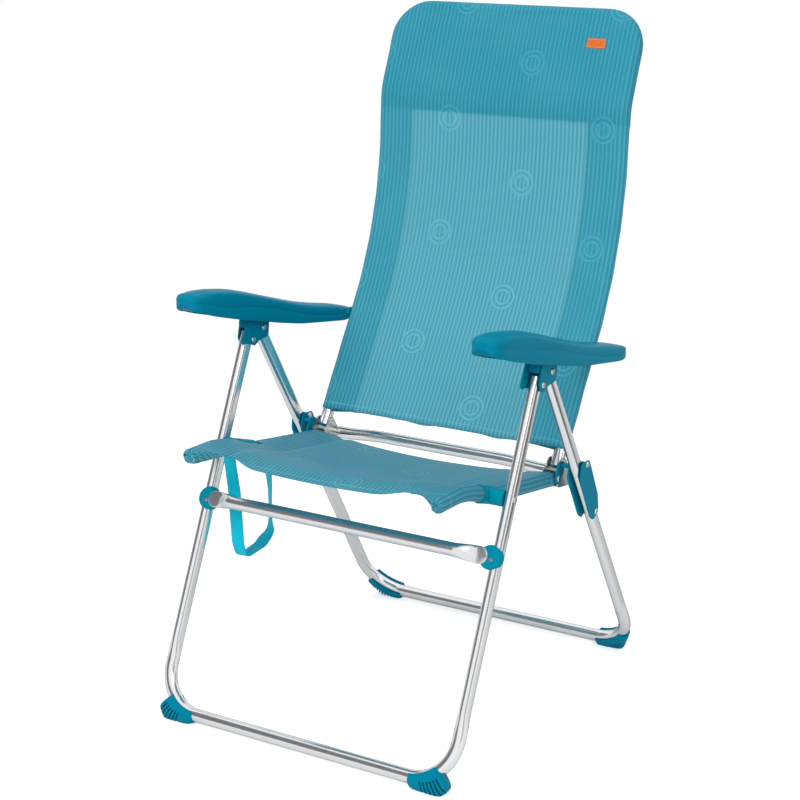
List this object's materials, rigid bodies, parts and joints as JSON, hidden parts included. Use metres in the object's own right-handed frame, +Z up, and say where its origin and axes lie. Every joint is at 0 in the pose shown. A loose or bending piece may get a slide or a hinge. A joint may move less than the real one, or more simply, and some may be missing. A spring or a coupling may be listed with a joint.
{
  "type": "folding beach chair",
  "caption": "Folding reclining beach chair with two aluminium leg hoops, sling seat and high sling back, notched armrests, brace bar and carrying strap.",
  "frame": {"origin": "centre of the bounding box at the floor", "axes": "+Z up, the sitter faces -Y, +X is the sitter's left"},
  "size_m": [0.6, 0.7348, 1.1357],
  "materials": {
    "aluminium": "polished, anodised",
    "teal_plastic": "satin moulded",
    "sling_fabric": "coated woven mesh with lengthwise ribs",
    "webbing": "woven webbing",
    "zinc": "zinc plated",
    "orange_tag": "bare woven tag"
  },
  "bodies": {
    "front_legs": {"front_leg_frame": "aluminium", "front_brace": "aluminium", "brace_clip_left": "teal_plastic", "brace_clip_right": "teal_plastic", "brace_rivets": "aluminium", "front_foot_left": "teal_plastic", "front_foot_right": "teal_plastic", "leg_bracket_left": "teal_plastic", "leg_bracket_right": "teal_plastic", "bracket_rivets": "zinc", "leg_pivot_rivets": "zinc", "notch_pins": "aluminium", "seat_pivot_rivets": "zinc"},
    "rear_legs": {"rear_leg_frame": "aluminium", "rear_foot_left": "teal_plastic", "rear_foot_right": "teal_plastic", "link_leg_rivets": "zinc"},
    "links": {"rear_link_left": "teal_plastic", "rear_link_right": "teal_plastic", "link_stop_rivets": "zinc", "link_seat_rivets": "zinc"},
    "seat": {"seat_frame": "aluminium", "seat_rear_bar": "aluminium", "seat_fabric": "sling_fabric", "seat_collar_left": "teal_plastic", "seat_collar_right": "teal_plastic", "hinge_clevis_left": "zinc", "hinge_clevis_right": "zinc", "carry_strap": "webbing"},
    "hinge_pins": {"hinge_rivets": "zinc"},
    "back": {"back_frame": "aluminium", "back_tube_plugs": "teal_plastic", "back_fabric": "sling_fabric", "label_tag": "orange_tag"},
    "arm_pin_left": {"armrest_pin_left": "zinc"},
    "arm_pin_right": {"armrest_pin_right": "zinc"},
    "arm_bush_left": {"armrest_bush_left": "teal_plastic"},
    "arm_bush_right": {"armrest_bush_right": "teal_plastic"},
    "arm_left": {"armrest_left": "teal_plastic"},
    "arm_right": {"armrest_right": "teal_plastic"}
  },
  "joints": [
    {"name": "fold", "type": "hinge", "parent": "front_legs", "child": "rear_legs", "pos_m": [0, -0.05683, 0.6081], "axis": [-1, 0, 0], "range_deg": [0, 50]},
    {"name": "link_swing", "type": "hinge", "parent": "rear_legs", "child": "links", "pos_m": [0, 0.11557, 0.326], "axis": [-1, 0, 0], "range_deg": [0, 159.5]},
    {"name": "seat_swing", "type": "hinge", "parent": "front_legs", "child": "seat", "pos_m": [0, -0.16613, 0.4262], "axis": [-1, 0, 0], "range_deg": [0, 75.5], "deforming": ["carry_strap"]},
    {"name": "back_fold", "type": "hinge", "parent": "seat", "child": "hinge_pins", "pos_m": [0, 0.07987, 0.41], "axis": [-1, 0, 0], "range_deg": [-79.3, 0]},
    {"name": "recline", "type": "hinge", "parent": "hinge_pins", "child": "back", "pos_m": [0, 0.07987, 0.41], "axis": [-1, 0, 0], "range_deg": [0, 35]},
    {"name": "arm_fold_left", "type": "hinge", "parent": "back", "child": "arm_pin_left", "pos_m": [0.275, 0.18787, 0.588], "axis": [-1, 0, 0], "range_deg": [0, 74.3]},
    {"name": "arm_recline_left", "type": "hinge", "parent": "arm_pin_left", "child": "arm_bush_left", "pos_m": [0.275, 0.18787, 0.588], "axis": [-1, 0, 0], "range_deg": [-22.4, 0]},
    {"name": "arm_lift_left", "type": "hinge", "parent": "arm_bush_left", "child": "arm_left", "pos_m": [0.275, 0.18787, 0.588], "axis": [-1, 0, 0], "range_deg": [0, 20]},
    {"name": "arm_fold_right", "type": "hinge", "parent": "back", "child": "arm_pin_right", "pos_m": [-0.275, 0.18787, 0.588], "axis": [-1, 0, 0], "range_deg": [0, 74.3]},
    {"name": "arm_recline_right", "type": "hinge", "parent": "arm_pin_right", "child": "arm_bush_right", "pos_m": [-0.275, 0.18787, 0.588], "axis": [-1, 0, 0], "range_deg": [-22.4, 0]},
    {"name": "arm_lift_right", "type": "hinge", "parent": "arm_bush_right", "child": "arm_right", "pos_m": [-0.275, 0.18787, 0.588], "axis": [-1, 0, 0], "range_deg": [0, 20]}
  ],
  "couplings": [
    {"joint": "link_swing", "follows": "fold", "ratio": 3.19},
    {"joint": "seat_swing", "follows": "fold", "ratio": 1.51},
    {"joint": "back_fold", "follows": "fold", "ratio": -1.586},
    {"joint": "arm_fold_left", "follows": "fold", "ratio": 1.486},
    {"joint": "arm_recline_left", "follows": "recline", "ratio": -0.64},
    {"joint": "arm_fold_right", "follows": "fold", "ratio": 1.486},
    {"joint": "arm_recline_right", "follows": "recline", "ratio": -0.64}
  ]
}
